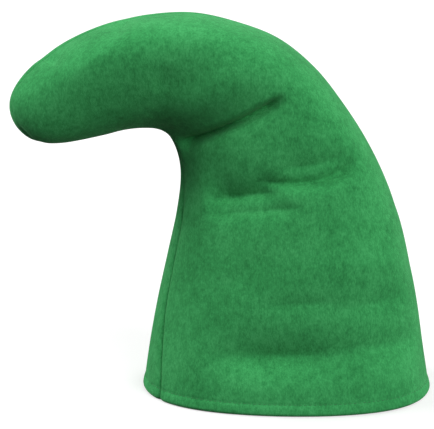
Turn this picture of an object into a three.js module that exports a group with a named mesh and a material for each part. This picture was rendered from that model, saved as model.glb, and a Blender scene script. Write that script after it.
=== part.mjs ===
// A gnome hat of brushed felt: a near panel and a far panel, sewn together along the front, the
// tip and the back. Millimetres, +Z up, rim on the floor. The tip bends over toward -X and the
// near panel faces -Y. Angles "around" the cone count from its front (-X): 90 is the near side,
// -90 the far side and 180 the back.
import * as THREE from "three";

// The opening at the rim, front to back and side to side.
const OPENING_WIDTH = 222;
const OPENING_DEPTH = 158;
// Height of the cone's middle line where it bends over.
const BEND_HEIGHT = 245;
// How far in front of the opening's middle the tip's middle line ends.
const TIP_REACH = 210;
// Thickness of the felt.
const WALL = 2.5;
// Height of the turned-up hem and the slack between its two layers.
const HEM_HEIGHT = 13;
const HEM_SLACK = 0.6;
// Felt turned inside along the seams, and the gap between the panels there.
const SEAM_ALLOWANCE = 8;
const SEAM_GAP = 0.3;
// How deep the seam pulls the felt in, and over what distance on each side.
const SEAM_DIP = 1.8;
const SEAM_PULL = 6;
// Distance from a seam within which the stiffer felt holds folds back, and what passes there.
const SEAM_STIFF = 16;
const SEAM_PASS = 0.2;
// Depth and half width of the main crease at the bend.
const CREASE_DEPTH = 9;
const CREASE_WIDTH = 7;
// How round the bottom of a fold is, as a share of its width.
const FOLD_BLUNT = 0.15;
// The hollow ends this far before the tip.
const TIP_SOLID = 2;

// The cone's sections, rim first. reach and rise: the middle, as shares of TIP_REACH and
// BEND_HEIGHT. lean: degrees that the section's plane turns over toward the front. width and
// depth: shares of the opening's. egg: how much fuller the front is than the back. full: how much
// squarer than an ellipse. front and back: degrees that the seams sit off the middle plane. sway:
// share of TIP_REACH toward the near side. yaw: degrees that the tip turns to the near side.
const SECTIONS = [
  { reach: 0, rise: 0, lean: 0, width: 1, depth: 1,
    egg: -0.05, full: 0.025, front: 31, back: 14, sway: 0, yaw: 0 },
  { reach: 0.002, rise: 0.143, lean: 0, width: 0.951, depth: 0.95,
    egg: -0.05, full: 0.025, front: 26.5, back: 13, sway: 0, yaw: 0 },
  { reach: 0, rise: 0.275, lean: 0, width: 0.902, depth: 0.895,
    egg: -0.05, full: 0.02, front: 21.5, back: 12, sway: 0, yaw: 0 },
  { reach: -0.001, rise: 0.437, lean: 0, width: 0.826, depth: 0.825,
    egg: -0.06, full: 0.015, front: 19, back: 11, sway: 0, yaw: 0 },
  { reach: 0.003, rise: 0.565, lean: 0, width: 0.758, depth: 0.77,
    egg: -0.08, full: 0.01, front: 17.5, back: 10, sway: 0, yaw: 0 },
  { reach: 0.021, rise: 0.667, lean: 1, width: 0.7, depth: 0.725,
    egg: -0.12, full: 0.01, front: 14, back: 9, sway: 0, yaw: 0 },
  { reach: 0.059, rise: 0.758, lean: 6.7, width: 0.642, depth: 0.68,
    egg: -0.17, full: 0.015, front: 11, back: 8, sway: 0, yaw: 0 },
  { reach: 0.111, rise: 0.838, lean: 14.4, width: 0.591, depth: 0.64,
    egg: -0.26, full: 0.02, front: 9, back: 7, sway: 0, yaw: 0 },
  { reach: 0.174, rise: 0.908, lean: 24.4, width: 0.551, depth: 0.605,
    egg: -0.31, full: 0.025, front: 8, back: 6, sway: 0, yaw: 0 },
  { reach: 0.253, rise: 0.957, lean: 34.9, width: 0.524, depth: 0.58,
    egg: -0.34, full: 0.03, front: 7, back: 5, sway: 0, yaw: 0 },
  { reach: 0.353, rise: 0.985, lean: 47.6, width: 0.483, depth: 0.55,
    egg: -0.36, full: 0.03, front: 7, back: 4, sway: 0, yaw: 1 },
  { reach: 0.459, rise: 0.997, lean: 58, width: 0.462, depth: 0.535,
    egg: -0.36, full: 0.035, front: 7, back: 3, sway: 0.001, yaw: 3 },
  { reach: 0.574, rise: 0.987, lean: 66.8, width: 0.439, depth: 0.51,
    egg: -0.36, full: 0.035, front: 7, back: 3, sway: 0.004, yaw: 6 },
  { reach: 0.687, rise: 0.967, lean: 73.8, width: 0.407, depth: 0.475,
    egg: -0.35, full: 0.035, front: 7, back: 5, sway: 0.01, yaw: 10 },
  { reach: 0.786, rise: 0.941, lean: 79, width: 0.358, depth: 0.43,
    egg: -0.32, full: 0.035, front: 7, back: 9, sway: 0.022, yaw: 16 },
  { reach: 0.873, rise: 0.914, lean: 83.5, width: 0.284, depth: 0.356,
    egg: -0.25, full: 0.035, front: 8, back: 13, sway: 0.04, yaw: 23 },
  { reach: 0.929, rise: 0.899, lean: 86.7, width: 0.205, depth: 0.26,
    egg: -0.13, full: 0.03, front: 12, back: 16, sway: 0.056, yaw: 29 },
  { reach: 0.966, rise: 0.896, lean: 88.4, width: 0.117, depth: 0.148,
    egg: -0.04, full: 0, front: 16, back: 18, sway: 0.068, yaw: 33 },
  { reach: 0.981, rise: 0.895, lean: 89.5, width: 0, depth: 0,
    egg: 0, full: 0, front: 19, back: 19, sway: 0.073, yaw: 35 },
];

// The folds and dents, each a line on the cone. up: share of the way from rim to tip. around:
// degrees. bow: how far its middle lies off the straight line, as a share of the way up. above
// and below: the fold's width toward the tip and toward the rim, shares of the main crease's.
// depth: share of the main crease's, a negative depth swells out. lip: the swelling along the
// fold's upper side, a share of the crease's depth. fade: share of the fold's length over which
// each of its ends fades out.
const FOLDS = [
  { up: 0.517, around: 12, upTo: 0.559, aroundTo: 122, bow: 0,
    above: 0.28, below: 0.6, depth: 1.2, lip: 0, fade: 0.18 },
  { up: 0.517, around: 14, upTo: 0.56, aroundTo: 142, bow: 0.003,
    above: 1.6, below: 4, depth: 0.22, lip: 0.3, fade: 0.35 },
  { up: 0.535, around: -24, upTo: 0.545, aroundTo: 84, bow: 0,
    above: 3, below: 3.5, depth: 0.42, lip: 0, fade: 0.45 },
  { up: 0.373, around: 38, upTo: 0.403, aroundTo: 94, bow: 0.001,
    above: 1.7, below: 1, depth: 1, lip: 0, fade: 0.35 },
  { up: 0.421, around: 72, upTo: 0.448, aroundTo: 148, bow: -0.018,
    above: 0.9, below: 0.6, depth: 0.8, lip: 0, fade: 0.3 },
  { up: 0.442, around: 84, upTo: 0.457, aroundTo: 144, bow: -0.006,
    above: 1.4, below: 1.6, depth: 0.62, lip: 0, fade: 0.35 },
  { up: 0.347, around: 40, upTo: 0.372, aroundTo: 102, bow: 0.002,
    above: 1, below: 0.9, depth: 0.45, lip: 0, fade: 0.3 },
  { up: 0.478, around: 34, upTo: 0.5, aroundTo: 134, bow: 0,
    above: 2, below: 2, depth: -0.1, lip: 0, fade: 0.4 },
  { up: 0.215, around: 62, upTo: 0.308, aroundTo: 79, bow: 0,
    above: 0.6, below: 1.8, depth: 0.12, lip: 0.08, fade: 0.35 },
  { up: 0.268, around: 84, upTo: 0.262, aroundTo: 172, bow: 0,
    above: 3, below: 5, depth: -0.44, lip: 0, fade: 0.45 },
  { up: 0.185, around: 98, upTo: 0.2, aroundTo: 158, bow: 0.004,
    above: 2.4, below: 1.6, depth: 0.5, lip: 0, fade: 0.45 },
  { up: 0.193, around: 72, upTo: 0.205, aroundTo: 118, bow: 0.002,
    above: 1.1, below: 1.3, depth: 0.3, lip: 0, fade: 0.45 },
  { up: 0.101, around: 50, upTo: 0.106, aroundTo: 124, bow: 0.001,
    above: 2.3, below: 2.6, depth: 1.2, lip: 0, fade: 0.45 },
  { up: 0.114, around: 92, upTo: 0.112, aroundTo: 168, bow: 0.004,
    above: 2.4, below: 2, depth: 0.8, lip: 0, fade: 0.45 },
  { up: 0.344, around: 144, upTo: 0.353, aroundTo: 208, bow: 0,
    above: 2, below: 2, depth: 0.05, lip: 0, fade: 0.35 },
  { up: 0.235, around: 144, upTo: 0.243, aroundTo: 208, bow: 0,
    above: 1.6, below: 1.6, depth: 0.04, lip: 0, fade: 0.35 },
  { up: 0.722, around: 78, upTo: 0.72, aroundTo: 106, bow: 0,
    above: 0.8, below: 0.8, depth: 0.14, lip: 0, fade: 0.45 },
  { up: 0.846, around: 130, upTo: 0.812, aroundTo: 206, bow: 0,
    above: 0.9, below: 0.9, depth: 0.24, lip: 0, fade: 0.45 },
  { up: 0.955, around: 116, upTo: 0.775, aroundTo: 138, bow: 0,
    above: 1.4, below: 1.4, depth: -0.16, lip: 0, fade: 0.4 },
  { up: 0.938, around: 136, upTo: 0.938, aroundTo: 222, bow: 0,
    above: 0.6, below: 0.9, depth: 0.4, lip: 0, fade: 0.4 },
  { up: 0.524, around: -2, upTo: 0.558, aroundTo: -128, bow: 0,
    above: 0.5, below: 2.6, depth: 0.6, lip: 0, fade: 0.35 },
  { up: 0.524, around: -2, upTo: 0.558, aroundTo: -128, bow: 0,
    above: 1.6, below: 3.4, depth: 0.5, lip: 0.28, fade: 0.35 },
  { up: 0.406, around: -18, upTo: 0.434, aroundTo: -124, bow: -0.006,
    above: 1.5, below: 1, depth: 0.6, lip: 0, fade: 0.35 },
  { up: 0.242, around: -50, upTo: 0.328, aroundTo: -110, bow: 0,
    above: 1.6, below: 1.2, depth: 0.22, lip: 0.08, fade: 0.35 },
  { up: 0.128, around: -56, upTo: 0.152, aroundTo: -134, bow: 0,
    above: 2.2, below: 1.6, depth: 0.26, lip: 0, fade: 0.35 },
  { up: 0.698, around: -52, upTo: 0.712, aroundTo: -122, bow: 0,
    above: 1, below: 1.2, depth: 0.15, lip: 0, fade: 0.35 },
];

// Rows of facets along the cone: how many up to each share of the way from rim to tip.
const ROWS = [
  { upTo: 0.34, rows: 11 },
  { upTo: 0.52, rows: 16 },
  { upTo: 0.57, rows: 9 },
  { upTo: 0.62, rows: 4 },
  { upTo: 0.93, rows: 9 },
  { upTo: 1, rows: 5 },
];
const NEAR_COLUMNS = 23;
const FAR_COLUMNS = 19;
const FELT_COLOUR = 0x2f8a4a;

const RIM_RADIUS = WALL + HEM_SLACK / 2;
const AXES = ["reach", "rise", "lean", "width", "depth", "egg", "full", "front", "back", "sway", "yaw"];
const rad = THREE.MathUtils.degToRad;
const vec = (x, y, z) => new THREE.Vector3(x, y, z);
const clamp = THREE.MathUtils.clamp;
const smooth = (low, high, x) => THREE.MathUtils.smoothstep(x, low, high);

const middle = (row) => vec(-TIP_REACH * row.reach, -TIP_REACH * row.sway, BEND_HEIGHT * row.rise);

// Length of the cone's middle line from the rim to each section.
const KNOTS = SECTIONS.reduce((list, row, i) => {
  list.push(i === 0 ? 0 : list[i - 1] + middle(row).distanceTo(middle(SECTIONS[i - 1])));
  return list;
}, []);
const LENGTH = KNOTS[KNOTS.length - 1];

// Smooth curve through one column of SECTIONS. Width and depth are squared so the tip is round.
function curve(axis) {
  const power = axis === "width" || axis === "depth" ? 2 : 1;
  const value = SECTIONS.map((row) => row[axis] ** power);
  const step = KNOTS.slice(1).map((k, i) => k - KNOTS[i]);
  const slope = step.map((h, i) => (value[i + 1] - value[i]) / h);
  const last = slope.length - 1;
  const tangent = value.map((_, i) => {
    if (i === 0) return slope[0];
    if (i > last) return slope[last];
    return (slope[i - 1] * step[i] + slope[i] * step[i - 1]) / (step[i - 1] + step[i]);
  });
  return (s) => {
    let i = 0;
    while (i < last && s > KNOTS[i + 1]) i += 1;
    const t = clamp((s - KNOTS[i]) / step[i], 0, 1);
    const a = (1 + 2 * t) * (1 - t) ** 2;
    const b = t * (1 - t) ** 2;
    const c = t * t * (3 - 2 * t);
    const d = t * t * (t - 1);
    const y = a * value[i] + c * value[i + 1] + step[i] * (b * tangent[i] + d * tangent[i + 1]);
    return power === 2 ? Math.sqrt(Math.max(0, y)) : y;
  };
}
const CURVES = Object.fromEntries(AXES.map((axis) => [axis, curve(axis)]));

// The section at a length s along the middle line, with its axes: u back, v far, p to the tip.
function section(s) {
  const row = Object.fromEntries(AXES.map((axis) => [axis, CURVES[axis](s)]));
  const lean = rad(row.lean);
  const yaw = rad(row.yaw);
  const u = vec(Math.cos(lean), 0, Math.sin(lean));
  const up = vec(-Math.sin(lean), 0, Math.cos(lean));
  const far = vec(0, 1, 0);
  const v = far.clone().multiplyScalar(Math.cos(yaw)).addScaledVector(up, Math.sin(yaw));
  const p = up.clone().multiplyScalar(Math.cos(yaw)).addScaledVector(far, -Math.sin(yaw));
  return { row, u, v, p, middle: middle(row) };
}

// Point of the smooth cone at the length s and the angle around.
function cone(s, around) {
  const { row, u, v, middle: centre } = section(s);
  const square = 1 - row.full;
  const x = (Math.cos(around) - row.full * Math.cos(3 * around)) / square;
  const y = (Math.sin(around) + row.full * Math.sin(3 * around)) / square;
  const plump = 1 + row.egg * Math.cos(around);
  return centre
    .addScaledVector(u, (-x * row.width * OPENING_WIDTH) / 2)
    .addScaledVector(v, (-y * plump * row.depth * OPENING_DEPTH) / 2);
}

// Unit tangents of a surface: around the cone and outward.
function tangents(surface, s, around) {
  if (s > LENGTH - 1e-6) {
    const { v, p } = section(s);
    return { round: v.multiplyScalar(-Math.cos(around)), out: p };
  }
  const step = Math.min(0.6, (LENGTH - s) / 4);
  const turn = 0.01;
  const along = surface(s + step, around).sub(surface(Math.max(0, s - step), around));
  const round = surface(s, around + turn).sub(surface(s, around - turn)).normalize();
  return { round, out: round.clone().cross(along).normalize() };
}

// Lines of the folds as points on the smooth cone.
const FOLD_STEPS = 12;
const FOLD_LINES = FOLDS.map((fold) => {
  const points = [];
  for (let i = 0; i <= FOLD_STEPS; i += 1) {
    const t = i / FOLD_STEPS;
    const up = fold.up + (fold.upTo - fold.up) * t + fold.bow * 4 * t * (1 - t);
    points.push(cone(up * LENGTH, rad(fold.around + (fold.aroundTo - fold.around) * t)));
  }
  return points;
});

// Nearest place of a point on a fold's line: how far along it and how far off.
function nearest(point, line) {
  let best = { gap: Infinity, along: 0, foot: line[0] };
  for (let i = 0; i < FOLD_STEPS; i += 1) {
    const edge = line[i + 1].clone().sub(line[i]);
    const t = clamp(point.clone().sub(line[i]).dot(edge) / edge.lengthSq(), 0, 1);
    const foot = line[i].clone().addScaledVector(edge, t);
    const gap = foot.distanceTo(point);
    if (gap < best.gap) best = { gap, along: (i + t) / FOLD_STEPS, foot };
  }
  return best;
}

// How far the folds push the felt out at a point of the smooth cone.
function swelling(point, s) {
  const { p } = section(s);
  return FOLDS.reduce((sum, fold, i) => {
    const { gap, along, foot } = nearest(point, FOLD_LINES[i]);
    const above = point.clone().sub(foot).dot(p) > 0;
    const width = (above ? fold.above : fold.below) * CREASE_WIDTH;
    const blunt = (FOLD_BLUNT * CREASE_WIDTH * (fold.above + fold.below)) / 2;
    const q = (Math.hypot(gap, blunt) - blunt) / width;
    const strength = smooth(0, fold.fade, along) * smooth(0, fold.fade, 1 - along) * CREASE_DEPTH;
    const valley = Math.max(0, 1 - q / 4) ** 4;
    const lip = above ? fold.lip * Math.max(0, 1 - (q / 2 - 1) ** 2) ** 2 : 0;
    return sum + strength * (lip - fold.depth * valley);
  }, 0);
}

// Angle of the front or the back seam.
const frontSeam = (s) => rad(CURVES.front(s));
const backSeam = (s) => rad(180 + CURVES.back(s));

// The felt's outer face with its folds, held back near the seams.
function skin(s, around) {
  const point = cone(s, around);
  const front = point.distanceTo(cone(s, frontSeam(s)));
  const back = point.distanceTo(cone(s, backSeam(s)));
  const hold = smooth(0, SEAM_STIFF, Math.min(front, back));
  const free = (SEAM_PASS + (1 - SEAM_PASS) * hold) * smooth(HEM_HEIGHT, 3 * HEM_HEIGHT, s);
  return point.addScaledVector(tangents(cone, s, around).out, free * swelling(point, s));
}

// Length of a panel from seam to seam at s, and the angle at a distance from the front seam.
function panelRuler(s, side) {
  const start = frontSeam(s);
  const sweep = side > 0 ? backSeam(s) - start : backSeam(s) - 2 * Math.PI - start;
  const marks = 36;
  const length = [0];
  let last = cone(s, start);
  for (let i = 1; i <= marks; i += 1) {
    const next = cone(s, start + (sweep * i) / marks);
    length.push(length[i - 1] + next.distanceTo(last));
    last = next;
  }
  const total = length[marks];
  const angle = (distance) => {
    const d = clamp(distance, 0, total);
    let i = 0;
    while (i < marks - 1 && length[i + 1] < d) i += 1;
    const t = total > 0 ? (d - length[i]) / (length[i + 1] - length[i]) : 0;
    return start + (sweep * (i + t)) / marks;
  };
  return { total, angle };
}

// Distances of the columns from the front seam, close together beside both seams.
const BESIDE_SEAM = [0, 1.1, 2.9, SEAM_PULL];
function columns(total, margin, count) {
  const span = total - 2 * margin;
  const even = span / (count - 1);
  const near = BESIDE_SEAM.map((d, j) => Math.min(d, j * even));
  const inner = near[near.length - 1];
  const gaps = count - 2 * near.length + 1;
  const list = [...near];
  for (let j = 1; j < gaps; j += 1) list.push(inner + ((span - 2 * inner) * j) / gaps);
  near.toReversed().forEach((d) => list.push(span - d));
  return list.map((d) => margin + d);
}

// How far a seam pulls the felt in at a distance from it.
const pull = (distance) => SEAM_DIP * (1 - clamp(distance / SEAM_PULL, 0, 1)) ** 2;

// One closed loop of points around a panel's felt: right side from the front seam to the back
// seam, turned-in edge, wrong side, turned-in edge. The row says where right and wrong side lie
// below the cone (inward), at what height when it is part of the hem, and the turned-in length.
function loop(row, side, count) {
  const { s } = row;
  const ruler = panelRuler(s, side);
  const edge = (around, sign) => {
    const { round, out } = tangents(cone, s, around);
    const foot = row.hem ? cone(s, around) : skin(s, around);
    return { foot, out, into: round.multiplyScalar(sign * side) };
  };
  const front = edge(frontSeam(s), 1);
  const back = edge(backSeam(s), -1);
  const level = (point, height) => (row.hem ? point.setZ(height) : point);
  const inward = (base, out, depth) => {
    const flat = row.hem ? out.clone().setZ(0).normalize() : out;
    return base.clone().addScaledVector(flat, -depth);
  };
  const seamPoint = (seam, offset, depth, height) =>
    level(inward(seam.foot, seam.out, depth).addScaledVector(seam.into, offset), height);
  const face = (margin, depthAt, height) => {
    if (ruler.total < 2 * margin) {
      return Array.from({ length: count }, () => seamPoint(front, margin, depthAt(0), height));
    }
    const list = columns(ruler.total, margin, count);
    return list.map((d, j) => {
      const beside = Math.min(d, ruler.total - d);
      if (j === 0) return seamPoint(front, margin, depthAt(beside), height);
      if (j === count - 1) return seamPoint(back, margin, depthAt(beside), height);
      const around = ruler.angle(d);
      const surface = row.hem ? cone : skin;
      const { out } = tangents(surface, s, around);
      return level(inward(surface(s, around), out, depthAt(beside)), height);
    });
  };
  const gap = SEAM_GAP / 2;
  const ease = smooth(0, 4 * WALL, LENGTH - s);
  const right = face(gap, (d) => row.right + ease * pull(d), row.rightHeight);
  const wrongDepth = (d) => row.wrong + (ease * pull(d)) / 2;
  const turned = wrongDepth(gap + WALL) + row.allowance;
  if (row.closed) {
    const end = section(LENGTH);
    const stop = end.middle
      .addScaledVector(end.p, -WALL - TIP_SOLID / 2)
      .addScaledVector(end.v, -side * (gap + WALL));
    const seams = [back, front].map((seam) => seamPoint(seam, gap, turned, 0));
    const wrong = Array.from({ length: count }, () => stop.clone());
    return [...right, seams[0], stop.clone(), ...wrong, stop.clone(), seams[1]];
  }
  const wrong = face(gap + WALL, wrongDepth, row.wrongHeight);
  return [
    ...right,
    seamPoint(back, gap, turned, row.wrongHeight),
    seamPoint(back, gap + WALL, turned, row.wrongHeight),
    ...wrong.toReversed(),
    seamPoint(front, gap + WALL, turned, row.wrongHeight),
    seamPoint(front, gap, turned, row.wrongHeight),
  ];
}

// Rows of the hem, from its raw edge inside, down, around the fold at the rim and up outside.
function hemRows() {
  const slack = HEM_SLACK / 2;
  const flat = { hem: true, allowance: 0 };
  const leg = [HEM_HEIGHT, (HEM_HEIGHT + RIM_RADIUS) / 2, RIM_RADIUS].map((z) => ({
    ...flat, s: z, right: 2 * RIM_RADIUS, wrong: RIM_RADIUS + slack, rightHeight: z, wrongHeight: z,
  }));
  const lowest = Math.sin(rad(72));
  const fold = [144, 108, 72, 36].map((turn) => ({
    ...flat,
    s: RIM_RADIUS,
    right: RIM_RADIUS * (1 - Math.cos(rad(turn))),
    wrong: RIM_RADIUS - slack * Math.cos(rad(turn)),
    rightHeight: RIM_RADIUS * (1 - Math.sin(rad(turn)) / lowest),
    wrongHeight: RIM_RADIUS - slack * Math.sin(rad(turn)),
  }));
  const wall = [RIM_RADIUS, (HEM_HEIGHT + RIM_RADIUS) / 2, HEM_HEIGHT].map((z) => ({
    ...flat, s: z, right: 0, wrong: WALL, rightHeight: z, wrongHeight: z,
  }));
  return [...leg, ...fold, ...wall];
}

// Rows of the single wall from the hem to the tip.
function wallRows() {
  const list = [];
  let from = (HEM_HEIGHT + 2) / LENGTH;
  ROWS.forEach((zone, i) => {
    for (let j = 1; j <= zone.rows; j += 1) {
      const t = j / zone.rows;
      const share = i === ROWS.length - 1 ? 1 - (1 - t) ** 2 : t;
      list.push((from + (zone.upTo - from) * share) * LENGTH);
    }
    from = zone.upTo;
  });
  return [HEM_HEIGHT + 2, ...list].map((s) => {
    const left = LENGTH - s;
    const rise = smooth(HEM_HEIGHT, HEM_HEIGHT + SEAM_ALLOWANCE, s);
    const fall = smooth(TIP_SOLID, 3 * SEAM_ALLOWANCE, left);
    return { s, right: 0, wrong: WALL, allowance: SEAM_ALLOWANCE * rise * fall, closed: left < TIP_SOLID };
  });
}

// Closed solid through the loops of all rows, with equal points shared and empty facets left out.
function loft(loops, count, flip) {
  const index = new Map();
  const position = [];
  const ids = loops.map((points) => points.map((point) => {
    const key = point.toArray().map((x) => Math.round(x * 1e4)).join();
    if (!index.has(key)) {
      index.set(key, index.size);
      position.push(...point.toArray());
    }
    return index.get(key);
  }));
  const faces = [];
  const facet = (a, b, c) => {
    if (a !== b && b !== c && c !== a) faces.push(...(flip ? [a, c, b] : [a, b, c]));
  };
  const around = ids[0].length;
  for (let i = 0; i + 1 < ids.length; i += 1) {
    for (let k = 0; k < around; k += 1) {
      const next = (k + 1) % around;
      facet(ids[i][k], ids[i][next], ids[i + 1][next]);
      facet(ids[i][k], ids[i + 1][next], ids[i + 1][k]);
    }
  }
  const raw = ids[0];
  const wrong = (j) => raw[2 * count + 1 - j];
  for (let j = 0; j + 1 < count; j += 1) {
    facet(raw[j], wrong(j + 1), raw[j + 1]);
    facet(raw[j], wrong(j), wrong(j + 1));
  }
  facet(raw[0], raw[2 * count + 3], wrong(0));
  facet(raw[count - 1], wrong(count - 1), raw[count]);
  const geometry = new THREE.BufferGeometry();
  geometry.setAttribute("position", new THREE.Float32BufferAttribute(position, 3));
  geometry.setIndex(faces);
  geometry.computeVertexNormals();
  return geometry;
}

function panel(name, side, count) {
  const rows = [...hemRows(), ...wallRows()];
  const geometry = loft(rows.map((row) => loop(row, side, count)), count, side < 0);
  const felt = new THREE.MeshStandardMaterial({ name: "green felt", color: FELT_COLOUR, roughness: 0.95 });
  const mesh = new THREE.Mesh(geometry, felt);
  mesh.name = name;
  return mesh;
}

// Both panels, moved so that the middle of the hat's bounding box stands over the origin.
const hat = new THREE.Group();
hat.name = "gnome_hat";
hat.add(panel("near_panel", 1, NEAR_COLUMNS), panel("far_panel", -1, FAR_COLUMNS));
const box = new THREE.Box3().setFromObject(hat);
const centre = box.getCenter(vec(0, 0, 0));
hat.children.forEach((mesh) => mesh.geometry.translate(-centre.x, -centre.y, -box.min.z));

export default hat;
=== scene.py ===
import math

import bmesh
import bpy
import numpy as np
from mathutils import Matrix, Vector


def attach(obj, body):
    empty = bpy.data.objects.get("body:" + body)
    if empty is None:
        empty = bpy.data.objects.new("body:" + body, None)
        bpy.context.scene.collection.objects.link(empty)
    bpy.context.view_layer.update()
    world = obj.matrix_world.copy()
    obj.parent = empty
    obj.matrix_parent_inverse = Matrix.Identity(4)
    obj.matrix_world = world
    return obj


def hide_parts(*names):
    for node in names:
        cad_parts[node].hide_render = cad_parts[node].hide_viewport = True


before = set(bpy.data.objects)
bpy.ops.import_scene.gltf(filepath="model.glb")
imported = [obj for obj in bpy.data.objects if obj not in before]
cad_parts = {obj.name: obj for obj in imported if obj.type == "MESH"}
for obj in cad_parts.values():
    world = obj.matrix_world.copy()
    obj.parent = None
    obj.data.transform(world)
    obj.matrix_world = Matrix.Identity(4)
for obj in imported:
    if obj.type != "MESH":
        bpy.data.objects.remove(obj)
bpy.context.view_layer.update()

MM = 0.001

# The sizes of the hat, in millimetres, as its solids have them. SEAM_PASS and FOLD_BLUNT are shares.
OPENING_WIDTH = 222
OPENING_DEPTH = 158
BEND_HEIGHT = 245
TIP_REACH = 210
WALL = 2.5
HEM_HEIGHT = 13
HEM_SLACK = 0.6
SEAM_ALLOWANCE = 8
SEAM_GAP = 0.3
SEAM_DIP = 1.8
SEAM_PULL = 6
SEAM_STIFF = 16
SEAM_PASS = 0.2
CREASE_DEPTH = 9
CREASE_WIDTH = 7
FOLD_BLUNT = 0.15
TIP_SOLID = 2
# Outer radius of the hem's fold at the rim.
RIM_RADIUS = WALL + HEM_SLACK / 2

# The cone's sections, rim first: shares of TIP_REACH, BEND_HEIGHT and the opening's sizes, and
# degrees for lean, front, back and yaw. EGG is how much fuller the front is than the back, and
# FULL how much squarer than an ellipse.
REACH, RISE, LEAN, WIDTH, DEPTH, EGG, FULL, FRONT, BACK, SWAY, YAW = range(11)
SECTIONS = np.array([
    (0.000, 0.000, 0.0, 1.000, 1.000, -0.05, 0.025, 31.0, 14, 0.000, 0),
    (0.002, 0.143, 0.0, 0.951, 0.950, -0.05, 0.025, 26.5, 13, 0.000, 0),
    (0.000, 0.275, 0.0, 0.902, 0.895, -0.05, 0.020, 21.5, 12, 0.000, 0),
    (-0.001, 0.437, 0.0, 0.826, 0.825, -0.06, 0.015, 19.0, 11, 0.000, 0),
    (0.003, 0.565, 0.0, 0.758, 0.770, -0.08, 0.010, 17.5, 10, 0.000, 0),
    (0.021, 0.667, 1.0, 0.700, 0.725, -0.12, 0.010, 14.0, 9, 0.000, 0),
    (0.059, 0.758, 6.7, 0.642, 0.680, -0.17, 0.015, 11.0, 8, 0.000, 0),
    (0.111, 0.838, 14.4, 0.591, 0.640, -0.26, 0.020, 9.0, 7, 0.000, 0),
    (0.174, 0.908, 24.4, 0.551, 0.605, -0.31, 0.025, 8.0, 6, 0.000, 0),
    (0.253, 0.957, 34.9, 0.524, 0.580, -0.34, 0.030, 7.0, 5, 0.000, 0),
    (0.353, 0.985, 47.6, 0.483, 0.550, -0.36, 0.030, 7.0, 4, 0.000, 1),
    (0.459, 0.997, 58.0, 0.462, 0.535, -0.36, 0.035, 7.0, 3, 0.001, 3),
    (0.574, 0.987, 66.8, 0.439, 0.510, -0.36, 0.035, 7.0, 3, 0.004, 6),
    (0.687, 0.967, 73.8, 0.407, 0.475, -0.35, 0.035, 7.0, 5, 0.010, 10),
    (0.786, 0.941, 79.0, 0.358, 0.430, -0.32, 0.035, 7.0, 9, 0.022, 16),
    (0.873, 0.914, 83.5, 0.284, 0.356, -0.25, 0.035, 8.0, 13, 0.040, 23),
    (0.929, 0.899, 86.7, 0.205, 0.260, -0.13, 0.030, 12.0, 16, 0.056, 29),
    (0.966, 0.896, 88.4, 0.117, 0.148, -0.04, 0.000, 16.0, 18, 0.068, 33),
    (0.981, 0.895, 89.5, 0.000, 0.000, 0.00, 0.000, 19.0, 19, 0.073, 35)])

# The folds: where each begins and ends (share of the way to the tip, degrees around), how far its
# middle bows off the line, its widths above and below, depth and lip as shares of the main
# crease's, and the share of its length over which each end fades out.
FOLDS = [
    (0.517, 12, 0.559, 122, 0.000, 0.28, 0.6, 1.20, 0.00, 0.18),
    (0.517, 14, 0.560, 142, 0.003, 1.60, 4.0, 0.22, 0.30, 0.35),
    (0.535, -24, 0.545, 84, 0.000, 3.00, 3.5, 0.42, 0.00, 0.45),
    (0.373, 38, 0.403, 94, 0.001, 1.70, 1.0, 1.00, 0.00, 0.35),
    (0.421, 72, 0.448, 148, -0.018, 0.90, 0.6, 0.80, 0.00, 0.30),
    (0.442, 84, 0.457, 144, -0.006, 1.40, 1.6, 0.62, 0.00, 0.35),
    (0.347, 40, 0.372, 102, 0.002, 1.00, 0.9, 0.45, 0.00, 0.30),
    (0.478, 34, 0.500, 134, 0.000, 2.00, 2.0, -0.10, 0.00, 0.40),
    (0.215, 62, 0.308, 79, 0.000, 0.60, 1.8, 0.12, 0.08, 0.35),
    (0.268, 84, 0.262, 172, 0.000, 3.00, 5.0, -0.44, 0.00, 0.45),
    (0.185, 98, 0.200, 158, 0.004, 2.40, 1.6, 0.50, 0.00, 0.45),
    (0.193, 72, 0.205, 118, 0.002, 1.10, 1.3, 0.30, 0.00, 0.45),
    (0.101, 50, 0.106, 124, 0.001, 2.30, 2.6, 1.20, 0.00, 0.45),
    (0.114, 92, 0.112, 168, 0.004, 2.40, 2.0, 0.80, 0.00, 0.45),
    (0.344, 144, 0.353, 208, 0.000, 2.00, 2.0, 0.05, 0.00, 0.35),
    (0.235, 144, 0.243, 208, 0.000, 1.60, 1.6, 0.04, 0.00, 0.35),
    (0.722, 78, 0.720, 106, 0.000, 0.80, 0.8, 0.14, 0.00, 0.45),
    (0.846, 130, 0.812, 206, 0.000, 0.90, 0.9, 0.24, 0.00, 0.45),
    (0.955, 116, 0.775, 138, 0.000, 1.40, 1.4, -0.16, 0.00, 0.40),
    (0.938, 136, 0.938, 222, 0.000, 0.60, 0.9, 0.40, 0.00, 0.40),
    (0.524, -2, 0.558, -128, 0.000, 0.50, 2.6, 0.60, 0.00, 0.35),
    (0.524, -2, 0.558, -128, 0.000, 1.60, 3.4, 0.50, 0.28, 0.35),
    (0.406, -18, 0.434, -124, -0.006, 1.50, 1.0, 0.60, 0.00, 0.35),
    (0.242, -50, 0.328, -110, 0.000, 1.60, 1.2, 0.22, 0.08, 0.35),
    (0.128, -56, 0.152, -134, 0.000, 2.20, 1.6, 0.26, 0.00, 0.35),
    (0.698, -52, 0.712, -122, 0.000, 1.00, 1.2, 0.15, 0.00, 0.35)]
FOLD_STEPS = 16
# How far a fold's valley reaches and where its lip stands, in widths off the line, and how much
# farther out, in millimetres, points are still looked at.
VALLEY_REACH = 4
LIP_PLACE = 2
FOLD_MARGIN = 2

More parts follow.
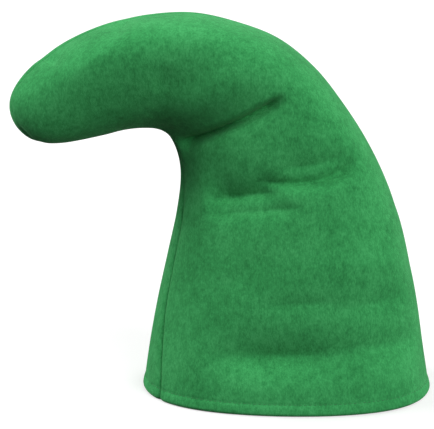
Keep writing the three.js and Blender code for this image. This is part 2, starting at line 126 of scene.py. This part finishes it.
# The steps by which a surface's tangents are measured, in millimetres along it and in radians
# around, and how near the tip it has none of its own.
LONGEST_STEP, SHORTEST_STEP = 0.5, 1e-5
TURN_STEP = 0.006
POLE = 1e-6

# Columns of the fine mesh on the wrong side and the right side of each panel, which has one more
# between each two, their distances beside a seam, the points of a panel's two turned-in edges,
# and the marks that measure a row.
WRONG_COLUMNS = 81
RIGHT_COLUMNS = 2 * WRONG_COLUMNS - 1
BESIDE_SEAM = np.array([0, 0.5, 1, 1.6, 2.3, 3.1, 4, 5, SEAM_PULL])
EDGE_POINTS = 4
RULER_MARKS = 73
# Rows of the fine mesh on the hem's inside, around the rim and on the hem's outside, the degrees
# that they turn around the rim, how far over the hem the wall's rows begin, and the wall's zones:
# the share of the way to the tip where each ends, and its rows.
INSIDE_ROWS, RIM_ROWS, OUTSIDE_ROWS = 9, 11, 15
RIM_TURN = (165, 15)
FIRST_ROW = 1.2
ZONES = [(0.34, 70), (0.6, 92), (0.93, 70), (1.0, 22)]
# In metres: points closer than the first are one, and edges shorter than the second are left out.
SAME_POINT = 2e-6
TINY_EDGE = 1e-7

# The topstitching of the hem: its place, its thread, how deep and wide a groove it pulls, and how
# far the hem puffs out and flares below it.
STITCH_HEIGHT = 9.2
STITCH_LENGTH = 2.9
STITCH_STEP = 3.7
THREAD_RADIUS = 0.2
STITCH_DIP = 0.25
GROOVE_WIDTH = 1.2
HEM_PUFF = 0.25
HEM_FLARE = 0.9
# The arch of a stitch over the felt, the share of it that stays sunk, how thin its ends are, its
# rings and their sides, and the marks that measure the hem.
STITCH_ARCH = 0.55
STITCH_SUNK = 0.55
THREAD_END = 0.45
THREAD_RINGS, THREAD_SIDES = 7, 8
HEM_MARKS = 2881

# The cut panels laid flat, with their allowances: the box around each, in metres, and their areas.
NEAR_CUT = 0.0868
FAR_CUT = 0.0879

# The photograph's view, with the middle of the opening as origin: millimetres, degrees, and the
# picture's width and the focal length in pixels. The camera's sensor is in millimetres.
PHOTO_WIDTH = 434
CAMERA_TARGET = (-54, 0, 135)
CAMERA_DISTANCE = 1200
CAMERA_ELEVATION = 12.5
CAMERA_PIXELS = 1572
CAMERA_SENSOR = 36
CAMERA_REACH = 50

# Colours of the felt and the thread, and where the felt's colours lie on its mixed noise.
FELT_DARK = (0.024, 0.225, 0.061, 1)
FELT_MID = (0.043, 0.345, 0.099, 1)
FELT_LIGHT = (0.076, 0.475, 0.152, 1)
FELT_STOPS = (0.36, 0.50, 0.66)
FELT_SHEEN = (0.40, 1.0, 0.52, 1)
THREAD_DARK = (0.012, 0.105, 0.032, 1)
THREAD_LIGHT = (0.035, 0.235, 0.075, 1)
# The felt's noises from coarse to fine, per metre, and the thread's.
CLOUD, MOTTLE, NAP, FIBRE = 34, 240, 800, 2200
TWIST = 3000
# Shares of the noises in the felt's colour and in its bumps, and how high those stand, in metres.
CLOUD_SHARE, MOTTLE_SHARE, NAP_SHARE = 0.25, 0.30, 0.45
NAP_BUMP, FIBRE_BUMP = 0.6, 0.4
FELT_BUMP = 0.0007
THREAD_BUMP = 0.0002

# The studio: the floor's side in metres, its grey and its glow, and the strength of the light from
# below and from above, with the heights between which one turns into the other.
FLOOR_SIDE = 24
FLOOR_GREY = (0.5, 0.5, 0.5, 1)
FLOOR_GLOW = 0.55
WHITE = (1, 1, 1, 1)
SKY_LOW, SKY_HIGH = 0.04, 0.16
SKY_FROM, SKY_TO = -0.05, 0.35
# Broad suns: strength, and the direction that each shines from.
SUN_ANGLE = 45
SUNS = {"left_softbox": (2.55, (-0.78, 0.13, 0.61)),
        "right_softbox": (2.35, (0.54, -0.64, 0.54)),
        "back_light": (1.5, (0.68, 0.63, 0.38))}


def smooth(low, high, x):
    """Smooth step from 0 at low to 1 at high."""
    t = np.clip((x - low) / (high - low), 0, 1)
    return t * t * (3 - 2 * t)


def unit(v):
    return v / np.maximum(np.linalg.norm(v, axis=-1, keepdims=True), 1e-12)


def middles(table):
    """The middles of the sections."""
    return np.stack([-TIP_REACH * table[..., REACH], -TIP_REACH * table[..., SWAY],
                     BEND_HEIGHT * table[..., RISE]], -1)


# Length of the cone's middle line from the rim to each section.
STEPS = np.linalg.norm(np.diff(middles(SECTIONS), axis=0), axis=1)
KNOTS = np.concatenate([[0], np.cumsum(STEPS)])
LENGTH = float(KNOTS[-1])


def curve(column, s):
    """Smooth curve through one column of SECTIONS; squared for a round tip where that is a size."""
    power = 2 if column in (WIDTH, DEPTH) else 1
    value = SECTIONS[:, column] ** power
    step = np.diff(KNOTS)
    slope = np.diff(value) / step
    tangent = np.empty(len(value))
    tangent[1:-1] = (slope[:-1] * step[1:] + slope[1:] * step[:-1]) / (step[1:] + step[:-1])
    tangent[0], tangent[-1] = slope[0], slope[-1]
    i = np.clip(np.searchsorted(KNOTS, s, side="right") - 1, 0, len(step) - 1)
    t = np.clip((s - KNOTS[i]) / step[i], 0, 1)
    a, b = (1 + 2 * t) * (1 - t) ** 2, t * (1 - t) ** 2
    c, d = t * t * (3 - 2 * t), t * t * (t - 1)
    y = a * value[i] + c * value[i + 1] + step[i] * (b * tangent[i] + d * tangent[i + 1])
    return np.sqrt(np.maximum(0, y)) if power == 2 else y


def section(s):
    """The sections at the lengths s, with their axes: u back, v far, p to the tip."""
    s = np.asarray(s, float)
    row = np.stack([curve(c, s) for c in range(SECTIONS.shape[1])], -1)
    lean, yaw = np.radians(row[..., LEAN]), np.radians(row[..., YAW])
    u = np.stack([np.cos(lean), 0 * lean, np.sin(lean)], -1)
    up = np.stack([-np.sin(lean), 0 * lean, np.cos(lean)], -1)
    far = np.array([0, 1.0, 0])
    v = np.cos(yaw)[..., None] * far + np.sin(yaw)[..., None] * up
    p = np.cos(yaw)[..., None] * up - np.sin(yaw)[..., None] * far
    return row, u, v, p


def cone(s, around):
    """Points of the smooth cone."""
    s, around = np.broadcast_arrays(np.asarray(s, float), np.asarray(around, float))
    row, u, v, _ = section(s)
    square = 1 - row[..., FULL]
    x = (np.cos(around) - row[..., FULL] * np.cos(3 * around)) / square
    y = (np.sin(around) + row[..., FULL] * np.sin(3 * around)) / square
    y = y * (1 + row[..., EGG] * np.cos(around))
    return (middles(row) - u * (x * row[..., WIDTH] * OPENING_WIDTH / 2)[..., None]
            - v * (y * row[..., DEPTH] * OPENING_DEPTH / 2)[..., None])


def tangents(surface, s, around):
    """Unit tangents of a surface: around the cone and outward."""
    s, around = np.broadcast_arrays(np.asarray(s, float), np.asarray(around, float))
    step = np.clip((LENGTH - s) / 4, SHORTEST_STEP, LONGEST_STEP)
    along = surface(s + step, around) - surface(np.maximum(0, s - step), around)
    round_ = unit(surface(s, around + TURN_STEP) - surface(s, around - TURN_STEP))
    out = unit(np.cross(round_, along))
    _, _, v, p = section(s)
    pole = (s > LENGTH - POLE)[..., None]
    return np.where(pole, -v * np.cos(around)[..., None], round_), np.where(pole, p, out)


def fold_line(fold):
    """Points of a fold's line on the smooth cone."""
    up, around, up_to, around_to, bow = fold[:5]
    t = np.linspace(0, 1, FOLD_STEPS + 1)
    return cone((up + (up_to - up) * t + bow * 4 * t * (1 - t)) * LENGTH,
                np.radians(around + (around_to - around) * t))


FOLD_LINES = [fold_line(fold) for fold in FOLDS]


def nearest(points, line):
    """How far the points are from a fold's line, how far along it, and their way off it."""
    gap = np.full(len(points), 1e9)
    along = np.zeros(len(points))
    off = np.zeros_like(points)
    for i in range(FOLD_STEPS):
        edge = line[i + 1] - line[i]
        t = np.clip(((points - line[i]) @ edge) / (edge @ edge), 0, 1)
        way = points - line[i] - t[:, None] * edge
        g = np.linalg.norm(way, axis=-1)
        closer = g < gap
        gap[closer] = g[closer]
        along[closer] = (i + t[closer]) / FOLD_STEPS
        off[closer] = way[closer]
    return gap, along, off


def swelling(points, s):
    """How far the folds push the felt out."""
    _, _, _, p = section(s)
    total = np.zeros(points.shape[:-1])
    for fold, line in zip(FOLDS, FOLD_LINES):
        above, below, depth, lip, fade = fold[5:]
        middle = line.mean(0)
        radius = np.linalg.norm(line - middle, axis=-1).max()
        reach = radius + VALLEY_REACH * max(above, below) * CREASE_WIDTH + FOLD_MARGIN
        close = np.linalg.norm(points - middle, axis=-1) < reach
        if not close.any():
            continue
        gap, along, off = nearest(points[close], line)
        upper = (off * p[close]).sum(-1) > 0
        width = np.where(upper, above, below) * CREASE_WIDTH
        blunt = FOLD_BLUNT * CREASE_WIDTH * (above + below) / 2
        q = (np.hypot(gap, blunt) - blunt) / width
        strength = smooth(0, fade, along) * smooth(0, fade, 1 - along) * CREASE_DEPTH
        valley = np.maximum(0, 1 - q / VALLEY_REACH) ** 4
        swell = upper * lip * np.maximum(0, 1 - (q / LIP_PLACE - 1) ** 2) ** 2
        total[close] += strength * (swell - depth * valley)
    return total


def front_seam(s):
    """Angle of the front seam."""
    return np.radians(curve(FRONT, s))


def back_seam(s):
    """Angle of the back seam."""
    return np.radians(180 + curve(BACK, s))


def skin(s, around):
    """The felt's outer face with its folds, held back near the seams and the hem."""
    s, around = np.broadcast_arrays(np.asarray(s, float), np.asarray(around, float))
    point = cone(s, around)
    front = np.linalg.norm(point - cone(s, front_seam(s)), axis=-1)
    back = np.linalg.norm(point - cone(s, back_seam(s)), axis=-1)
    free = SEAM_PASS + (1 - SEAM_PASS) * smooth(0, SEAM_STIFF, np.minimum(front, back))
    free = free * smooth(HEM_HEIGHT, 3 * HEM_HEIGHT, s)
    return point + tangents(cone, s, around)[1] * (free * swelling(point, s))[..., None]


def columns(total, margin, count):
    """Distances of the columns from the front seam, close together beside both seams."""
    span = total - 2 * margin
    even = span / (count - 1)
    near = np.minimum(BESIDE_SEAM, even * np.arange(len(BESIDE_SEAM)))
    gaps = count - 2 * len(near) + 1
    middle = near[-1] + (span - 2 * near[-1]) * np.arange(1, gaps) / gaps
    return margin + np.concatenate([near, middle, span - near[::-1]])


def groove(z):
    """How deep the stitches pull the hem in at a height."""
    return STITCH_DIP * math.exp(-((z - STITCH_HEIGHT) / GROOVE_WIDTH) ** 2)


def rows():
    """Rows of the mesh from the hem's raw edge, inside, down, around the rim and up to the tip.

    Each has its length along the cone, how deep the right and the wrong side lie and how high,
    the turned-in allowance, and whether it is part of the hem and whether the hollow is closed.
    """
    slack = HEM_SLACK / 2
    list_ = []
    for z in np.linspace(HEM_HEIGHT, RIM_RADIUS, INSIDE_ROWS):
        list_.append((z, 2 * RIM_RADIUS - groove(z), RIM_RADIUS + slack, z, z, 0, True, False))
    for turn in np.radians(np.linspace(*RIM_TURN, RIM_ROWS)):
        flare = HEM_FLARE * (1 + math.cos(turn)) / 2
        right = RIM_RADIUS * (1 - math.cos(turn)) - flare
        wrong = RIM_RADIUS - slack * math.cos(turn)
        right_height = RIM_RADIUS - math.sin(turn) * RIM_RADIUS
        wrong_height = RIM_RADIUS - slack * math.sin(turn)
        list_.append((RIM_RADIUS, right, wrong, right_height, wrong_height, 0, True, False))
    for z in np.linspace(RIM_RADIUS, HEM_HEIGHT, OUTSIDE_ROWS):
        drop = max(0, (STITCH_HEIGHT - z) / (STITCH_HEIGHT - RIM_RADIUS))
        puff = HEM_PUFF * math.sin(math.pi * drop) + HEM_FLARE * drop
        list_.append((z, groove(z) - puff, WALL, z, z, 0, True, False))
    start = (HEM_HEIGHT + FIRST_ROW) / LENGTH
    s = [start]
    for i, (stop, n) in enumerate(ZONES):
        t = np.arange(1, n + 1) / n
        t = 1 - (1 - t) ** 2 if i == len(ZONES) - 1 else t
        s.extend(start + (stop - start) * t)
        start = stop
    for x in np.array(s) * LENGTH:
        left = LENGTH - x
        allowance = SEAM_ALLOWANCE * smooth(HEM_HEIGHT, HEM_HEIGHT + SEAM_ALLOWANCE, x) \
            * smooth(TIP_SOLID, 3 * SEAM_ALLOWANCE, left)
        list_.append((min(x, LENGTH), 0, WALL, 0, 0, float(allowance), False, left < TIP_SOLID))
    return list_


def pull(distance):
    """How deep a seam pulls the felt in at a distance from it."""
    return SEAM_DIP * (1 - np.clip(distance / SEAM_PULL, 0, 1)) ** 2


def panel_grid(side):
    """The panel's loops of points, one row each, in millimetres."""
    table = rows()
    s, right_depth, wrong_depth, right_height, wrong_height, allowance, hem, closed = \
        (np.array(column) for column in zip(*table))
    gap = SEAM_GAP / 2
    end_row, _, end_v, end_p = section(LENGTH)
    stop = middles(end_row) - end_p * (WALL + TIP_SOLID / 2) - end_v * side * (gap + WALL)
    start, end = front_seam(s), back_seam(s) - (2 * math.pi if side < 0 else 0)
    line = start[:, None] + (end - start)[:, None] * np.linspace(0, 1, RULER_MARKS)
    step = np.linalg.norm(np.diff(cone(s[:, None], line), axis=1), axis=-1)
    length = np.concatenate([np.zeros((len(s), 1)), np.cumsum(step, axis=1)], axis=1)
    total = length[:, -1]
    ease = smooth(0, 4 * WALL, LENGTH - s)

    def face(margin, count, depth, height, share):
        """One side of the felt, between the seams."""
        d = np.array([columns(x, margin, count) if x > 2 * margin else np.zeros(count)
                      for x in total])
        around = np.array([np.interp(a, b, c) for a, b, c in zip(d, length, line)])
        sunk = depth[:, None] + (ease * share)[:, None] * pull(np.minimum(d, total[:, None] - d))
        point = skin(s[:, None], around)
        out = tangents(cone, s[:, None], around)[1]
        wall = point[~hem]
        normal = unit(np.cross(np.gradient(wall, axis=1) * side, np.gradient(wall, axis=0)))
        good = (s[~hem] < LENGTH - 1)[:, None, None]
        out[~hem] = np.where(good, normal, out[~hem])
        out[hem, :, 2] = 0
        out[hem] = unit(out[hem])
        point = point - out * sunk[..., None]
        point[hem, :, 2] = height[hem][:, None]
        return point

    ends = []
    for around, sign in ((start, side), (end, -side)):
        round_, out = tangents(cone, s, around)
        out[hem, 2] = 0
        ends.append((skin(s, around), unit(out), round_ * sign))

    def seam_points(seam, offset, depth, height):
        """Points beside a seam, at an offset from its middle and at a depth."""
        foot, out, into = seam
        point = foot - out * depth[:, None] + into * offset
        point[hem, 2] = height[hem]
        return point

    right = face(gap, RIGHT_COLUMNS, right_depth, right_height, 1)
    wrong = face(gap + WALL, WRONG_COLUMNS, wrong_depth, wrong_height, 0.5)
    edge = right_depth + ease * pull(gap)
    inner = wrong_depth + ease * pull(gap + WALL) / 2
    turned = inner + allowance
    for j in (0, -1):
        right[:, j] = seam_points(ends[j], gap, edge, right_height)
        wrong[:, j] = seam_points(ends[j], gap + WALL, inner, wrong_height)
    tight = total <= 2 * (gap + WALL)
    right[tight] = right[tight, :1]
    corner = [seam_points(seam, gap + WALL, turned, wrong_height) for seam in ends]
    lip = [seam_points(seam, gap, turned, wrong_height) for seam in ends]
    wrong[closed] = stop
    for points in corner:
        points[closed] = stop
    return np.concatenate([right, lip[1][:, None], corner[1][:, None], wrong[:, ::-1],
                           corner[0][:, None], lip[0][:, None]], axis=1)


def mesh_object(name, points, faces, material):
    """A mesh from points in metres, with equal points merged."""
    mesh = bpy.data.meshes.new(name)
    mesh.from_pydata([tuple(p) for p in points], [], faces)
    bm = bmesh.new()
    bm.from_mesh(mesh)
    bmesh.ops.remove_doubles(bm, verts=bm.verts, dist=SAME_POINT)
    bmesh.ops.dissolve_degenerate(bm, dist=TINY_EDGE, edges=bm.edges)
    bm.to_mesh(mesh)
    bm.free()
    mesh.polygons.foreach_set("use_smooth", [True] * len(mesh.polygons))
    mesh.materials.append(material)
    obj = bpy.data.objects.new(name, mesh)
    bpy.context.scene.collection.objects.link(obj)
    return obj


def panel_faces(n_rows, side):
    """Faces through a panel's loops, with the strip that closes the hem's raw edge."""
    around = RIGHT_COLUMNS + WRONG_COLUMNS + EDGE_POINTS
    faces = []
    for i in range(n_rows - 1):
        a, b = i * around, (i + 1) * around
        for k in range(around):
            n = (k + 1) % around
            faces.append((a + k, a + n, b + n, b + k))
    wrong = [RIGHT_COLUMNS + 2 + WRONG_COLUMNS - 1 - j for j in range(WRONG_COLUMNS)]
    for j in range(WRONG_COLUMNS - 1):
        faces.append((2 * j, wrong[j], wrong[j + 1], 2 * j + 2, 2 * j + 1))
    faces.append((0, around - 1, wrong[0]))
    faces.append((RIGHT_COLUMNS - 1, wrong[-1], RIGHT_COLUMNS))
    return faces if side > 0 else [f[::-1] for f in faces]


class Nodes:
    """Shorthand for a material's nodes."""

    def __init__(self, name):
        self.material = bpy.data.materials.new(name)
        self.material.use_nodes = True
        self.tree = self.material.node_tree
        self.shader = next(n for n in self.tree.nodes if n.type == "BSDF_PRINCIPLED")

    def add(self, kind, inputs=(), **settings):
        """A new node with its inputs, each a value or another node's socket."""
        node = self.tree.nodes.new(kind)
        for key, value in settings.items():
            setattr(node, key, value)
        for key, value in dict(inputs).items():
            self.link(value, node.inputs[key])
        return node

    def link(self, value, socket):
        if isinstance(value, bpy.types.NodeSocket):
            self.tree.links.new(value, socket)
        else:
            socket.default_value = value

    def noise(self, where, scale, stretch=(1, 1, 1), detail=3, roughness=0.55):
        move = self.add("ShaderNodeMapping", {"Vector": where, "Scale": stretch})
        inputs = {"Vector": move.outputs[0], "Scale": scale, "Detail": detail, "Roughness": roughness}
        return self.add("ShaderNodeTexNoise", inputs).outputs["Fac"]

    def math(self, operation, a, b):
        node = self.add("ShaderNodeMath", operation=operation)
        self.link(a, node.inputs[0])
        self.link(b, node.inputs[1])
        return node.outputs[0]


def felt(name):
    """Brushed felt: three sizes of mottling in its colour, and its nap and fibres as bumps."""
    n = Nodes(name)
    where = n.add("ShaderNodeTexCoord").outputs["Object"]
    cloud = n.noise(where, CLOUD, detail=2)
    mottle = n.noise(where, MOTTLE, (1, 1, 0.7), detail=3, roughness=0.6)
    nap = n.noise(where, NAP, (1, 1, 0.5), detail=3, roughness=0.7)
    fibre = n.noise(where, FIBRE, (1, 1, 0.25), detail=2, roughness=0.7)
    mix = n.math("ADD", n.math("MULTIPLY", cloud, CLOUD_SHARE),
                 n.math("MULTIPLY", mottle, MOTTLE_SHARE))
    mix = n.math("ADD", mix, n.math("MULTIPLY", nap, NAP_SHARE))
    ramp = n.add("ShaderNodeValToRGB", {"Fac": mix})
    band = ramp.color_ramp
    band.elements[0].position = FELT_STOPS[0]
    band.elements[0].color = FELT_DARK
    band.elements[1].position = FELT_STOPS[2]
    band.elements[1].color = FELT_LIGHT
    band.elements.new(FELT_STOPS[1]).color = FELT_MID
    n.link(ramp.outputs["Color"], n.shader.inputs["Base Color"])
    height = n.math("ADD", n.math("MULTIPLY", nap, NAP_BUMP), n.math("MULTIPLY", fibre, FIBRE_BUMP))
    bump = n.add("ShaderNodeBump", {"Height": height, "Strength": 0.6, "Distance": FELT_BUMP})
    n.link(bump.outputs["Normal"], n.shader.inputs["Normal"])
    n.shader.inputs["Roughness"].default_value = 0.95
    n.shader.inputs["Specular IOR Level"].default_value = 0.1
    n.shader.inputs["Sheen Weight"].default_value = 0.2
    n.shader.inputs["Sheen Roughness"].default_value = 0.4
    n.shader.inputs["Sheen Tint"].default_value = FELT_SHEEN
    return n.material


def thread(name):
    """Twisted sewing thread, darker than the felt."""
    n = Nodes(name)
    where = n.add("ShaderNodeTexCoord").outputs["Object"]
    twist = n.noise(where, TWIST, (1, 1, 2.5), detail=1)
    ramp = n.add("ShaderNodeValToRGB", {"Fac": twist})
    ramp.color_ramp.elements[0].color = THREAD_DARK
    ramp.color_ramp.elements[1].color = THREAD_LIGHT
    n.link(ramp.outputs["Color"], n.shader.inputs["Base Color"])
    bump = n.add("ShaderNodeBump", {"Height": twist, "Strength": 0.4, "Distance": THREAD_BUMP})
    n.link(bump.outputs["Normal"], n.shader.inputs["Normal"])
    n.shader.inputs["Roughness"].default_value = 0.6
    return n.material


green_felt = felt("green_felt")
green_thread = thread("green_thread")

# The two panels, moved together as the solids are, so that their box stands over the origin.
grids = {side: panel_grid(side) for side in (1, -1)}
every = np.concatenate([g.reshape(-1, 3) for g in grids.values()])
low, high = every.min(0), every.max(0)
SHIFT = np.array([-(low[0] + high[0]) / 2, -(low[1] + high[1]) / 2, -low[2]])

for side, node in ((1, "near_panel"), (-1, "far_panel")):
    points = (grids[side].reshape(-1, 3) + SHIFT) * MM
    faces = panel_faces(len(grids[side]), side)
    piece = mesh_object(node + "_cloth", points, faces, green_felt)
    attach(piece, "root")
    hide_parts(node)


def stitch_row(name, side, depth):
    """A panel's row of hem stitches, lying on the felt at a depth below its outer face."""
    around = np.linspace(0, 2 * math.pi, HEM_MARKS)
    line = cone(STITCH_HEIGHT, around)
    length = np.concatenate([[0], np.cumsum(np.linalg.norm(np.diff(line, axis=0), axis=1))])
    total = length[-1]
    count = int(total / STITCH_STEP)
    points, faces = [], []
    along = np.linspace(0, 1, THREAD_RINGS)
    arch = np.sin(np.pi * along)
    fat = THREAD_RADIUS * (THREAD_END + (1 - THREAD_END) * arch ** 0.5)
    turns = [2 * math.pi * t / THREAD_SIDES for t in range(THREAD_SIDES)]
    ring = [(math.cos(a), math.sin(a) * np.array([0, 0, 1.0])) for a in turns]
    for k in range(count):
        start = (k + 0.5) * total / count
        near = front_seam(STITCH_HEIGHT) < np.interp(start, length, around) < back_seam(STITCH_HEIGHT)
        if near != (side > 0):
            continue
        angle = np.interp(start + STITCH_LENGTH * (along - 0.5), length, around)
        out = unit(tangents(cone, STITCH_HEIGHT, angle)[1] * np.array([1, 1, 0]))
        lift = (arch - STITCH_SUNK) * STITCH_ARCH
        centre = cone(STITCH_HEIGHT, angle) - out * depth + out * lift[:, None]
        first = len(points)
        for r in range(THREAD_RINGS):
            points.extend(centre[r] + fat[r] * (flat * out[r] + rise) for flat, rise in ring)
        for r in range(THREAD_RINGS - 1):
            a, b = first + r * THREAD_SIDES, first + (r + 1) * THREAD_SIDES
            for t in range(THREAD_SIDES):
                n = (t + 1) % THREAD_SIDES
                faces.append((a + t, a + n, b + n, b + t))
        last = first + (THREAD_RINGS - 1) * THREAD_SIDES
        faces.append(tuple(first + t for t in range(THREAD_SIDES))[::-1])
        faces.append(tuple(last + t for t in range(THREAD_SIDES)))
    piece = mesh_object(name, (np.array(points) + SHIFT) * MM, faces, green_thread)
    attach(piece, "root")
    return piece


# The stitches of each panel's part of the hem, on its outside and on its inside.
for side, node, area in ((1, "near", NEAR_CUT), (-1, "far", FAR_CUT)):
    stitches = [stitch_row(node + "_hem_stitches", side, STITCH_DIP),
                stitch_row(node + "_hem_stitches_inside", side, 2 * RIM_RADIUS - STITCH_DIP)]

# The pale floor, which sheds no light of its own on the hat.
paint = Nodes("pale_floor")
paint.shader.inputs["Base Color"].default_value = FLOOR_GREY
paint.shader.inputs["Roughness"].default_value = 0.9
paint.shader.inputs["Emission Color"].default_value = WHITE
paint.shader.inputs["Emission Strength"].default_value = FLOOR_GLOW
half = FLOOR_SIDE / 2
corners = [(-half, -half, 0), (half, -half, 0), (half, half, 0), (-half, half, 0)]
floor = mesh_object("floor", corners, [(0, 1, 2, 3)], paint.material)
floor.visible_diffuse = False

# Faint light from all of the upper half, and hardly any from below.
world = bpy.data.worlds.new("studio")
bpy.context.scene.world = world
world.use_nodes = True
sky = world.node_tree
background = next(x for x in sky.nodes if x.type == "BACKGROUND")
direction = sky.nodes.new("ShaderNodeTexCoord")
split = sky.nodes.new("ShaderNodeSeparateXYZ")
height = sky.nodes.new("ShaderNodeMapRange")
height.interpolation_type = "SMOOTHSTEP"
height.inputs["From Min"].default_value = SKY_FROM
height.inputs["From Max"].default_value = SKY_TO
height.inputs["To Min"].default_value = SKY_LOW
height.inputs["To Max"].default_value = SKY_HIGH
sky.links.new(direction.outputs["Generated"], split.inputs[0])
sky.links.new(split.outputs["Z"], height.inputs["Value"])
sky.links.new(height.outputs["Result"], background.inputs["Strength"])
background.inputs["Color"].default_value = WHITE

for name, (strength, way) in SUNS.items():
    light = bpy.data.lights.new(name, "SUN")
    light.energy = strength
    light.angle = math.radians(SUN_ANGLE)
    sun = bpy.data.objects.new(name, light)
    sun.rotation_euler = Vector(way).to_track_quat("Z", "Y").to_euler()
    bpy.context.scene.collection.objects.link(sun)

target = np.array(CAMERA_TARGET) + SHIFT
lift = math.radians(CAMERA_ELEVATION)
eye = target + CAMERA_DISTANCE * np.array([0, -math.cos(lift), math.sin(lift)])
view = bpy.data.cameras.new("camera")
view.sensor_width = CAMERA_SENSOR
view.lens = CAMERA_PIXELS * CAMERA_SENSOR / PHOTO_WIDTH
view.clip_end = CAMERA_REACH
camera = bpy.data.objects.new("camera", view)
camera.location = eye * MM
camera.rotation_euler = (math.radians(90 - CAMERA_ELEVATION), 0, 0)
bpy.context.scene.collection.objects.link(camera)
bpy.context.scene.camera = camera
bpy.context.scene.view_settings.view_transform = "Standard"
